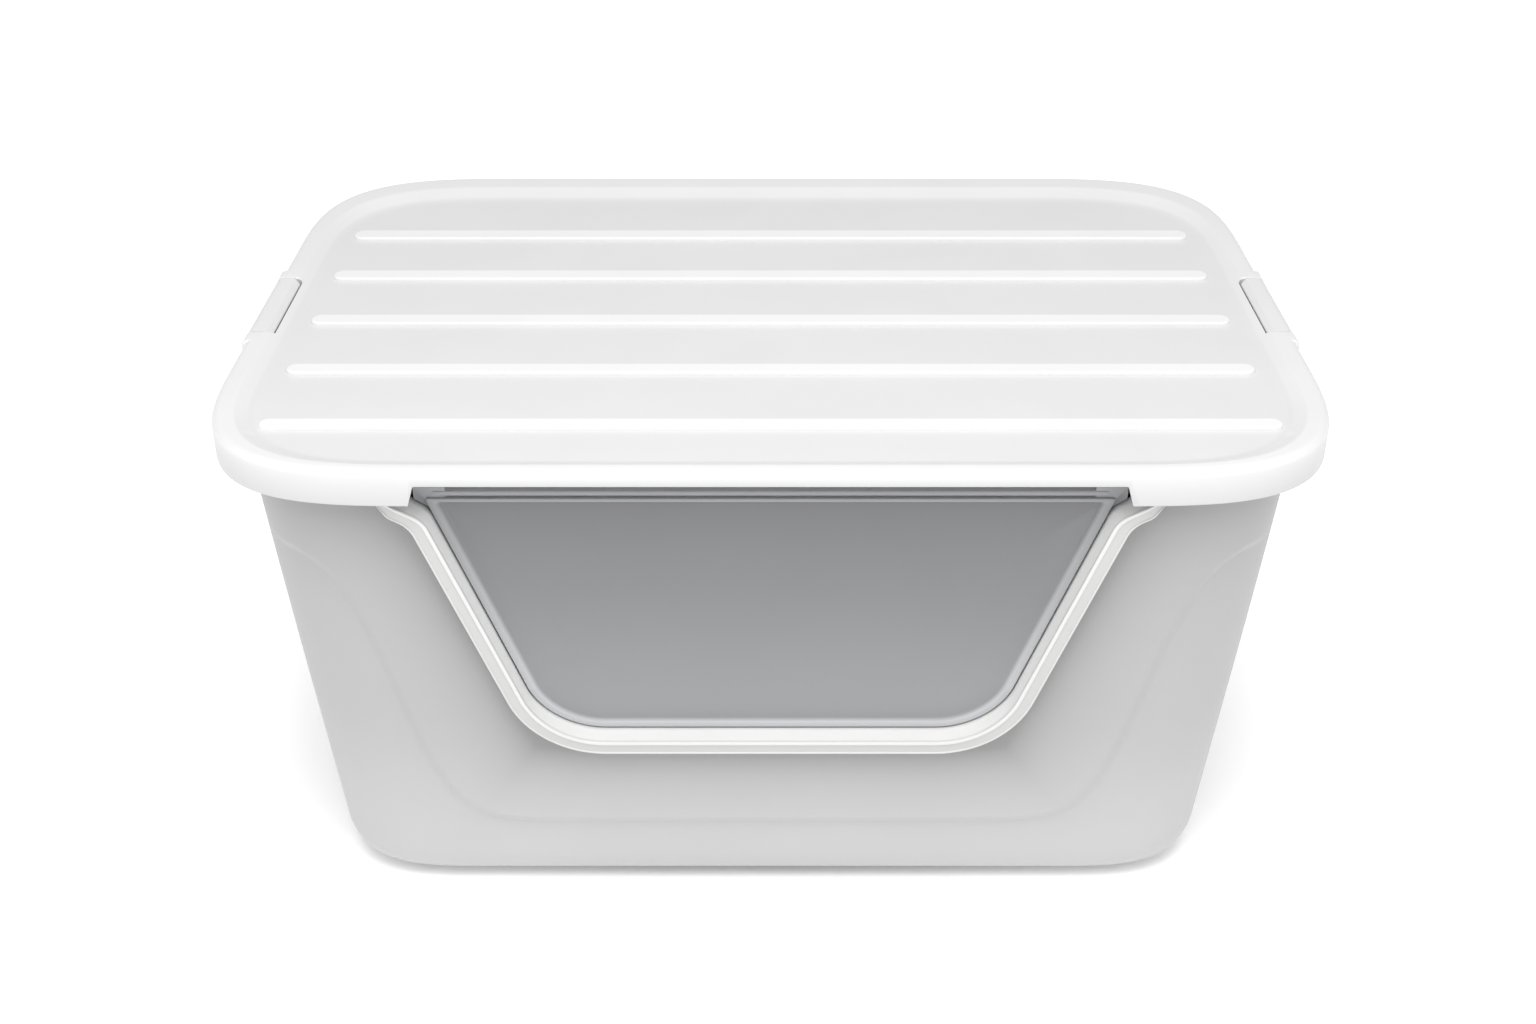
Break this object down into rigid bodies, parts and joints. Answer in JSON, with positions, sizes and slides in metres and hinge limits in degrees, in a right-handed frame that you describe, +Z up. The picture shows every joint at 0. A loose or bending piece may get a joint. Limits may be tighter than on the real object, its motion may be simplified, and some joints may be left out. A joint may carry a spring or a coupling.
{
  "type": "hooded litter box",
  "caption": "Hooded litter box: drafted tub with a trimmed front entry, lift-off ribbed lid with side latches, and a two-way entry flap.",
  "frame": {"origin": "on the floor, under the middle of the box", "axes": "+X to the right along the box's width, +Y to the back, +Z up; the entry faces -Y"},
  "size_m": [0.5692, 0.396, 0.283],
  "materials": {
    "tub_plastic": "satin moulded, pale grey",
    "trim_plastic": "satin moulded, white",
    "lid_plastic": "satin moulded, white",
    "flap_plastic": "satin moulded, mid grey",
    "rod_steel": "drawn wire",
    "cap_plastic": "satin moulded, white",
    "latch_plastic": "satin moulded, white",
    "foot_rubber": "matt moulded, dark grey"
  },
  "bodies": {
    "tub": {"tub": "tub_plastic", "entry_trim": "trim_plastic", "foot_front_left": "foot_rubber", "foot_front_right": "foot_rubber", "foot_back_left": "foot_rubber", "foot_back_right": "foot_rubber"},
    "lid": {"lid": "lid_plastic", "flap_rod": "rod_steel", "left_rod_cap": "cap_plastic", "right_rod_cap": "cap_plastic", "left_latch_pin": "rod_steel", "right_latch_pin": "rod_steel"},
    "flap": {"flap": "flap_plastic"},
    "left_latch": {"left_latch": "latch_plastic"},
    "right_latch": {"right_latch": "latch_plastic"}
  },
  "joints": [
    {"name": "lid_lift", "type": "slide", "parent": "tub", "child": "lid", "axis": [0, 0, 1], "range_m": [0, 0.2]},
    {"name": "flap_swing", "type": "hinge", "parent": "lid", "child": "flap", "pos_m": [0, -0.17313, 0.26597], "axis": [1, 0, 0], "range_deg": [-75, 75]},
    {"name": "left_latch_turn", "type": "hinge", "parent": "lid", "child": "left_latch", "pos_m": [-0.2797, -0.0045, 0.2772], "axis": [0, 1, 0], "range_deg": [0, 14]},
    {"name": "right_latch_turn", "type": "hinge", "parent": "lid", "child": "right_latch", "pos_m": [0.2797, -0.0045, 0.2772], "axis": [0, -1, 0], "range_deg": [0, 14]}
  ]
}
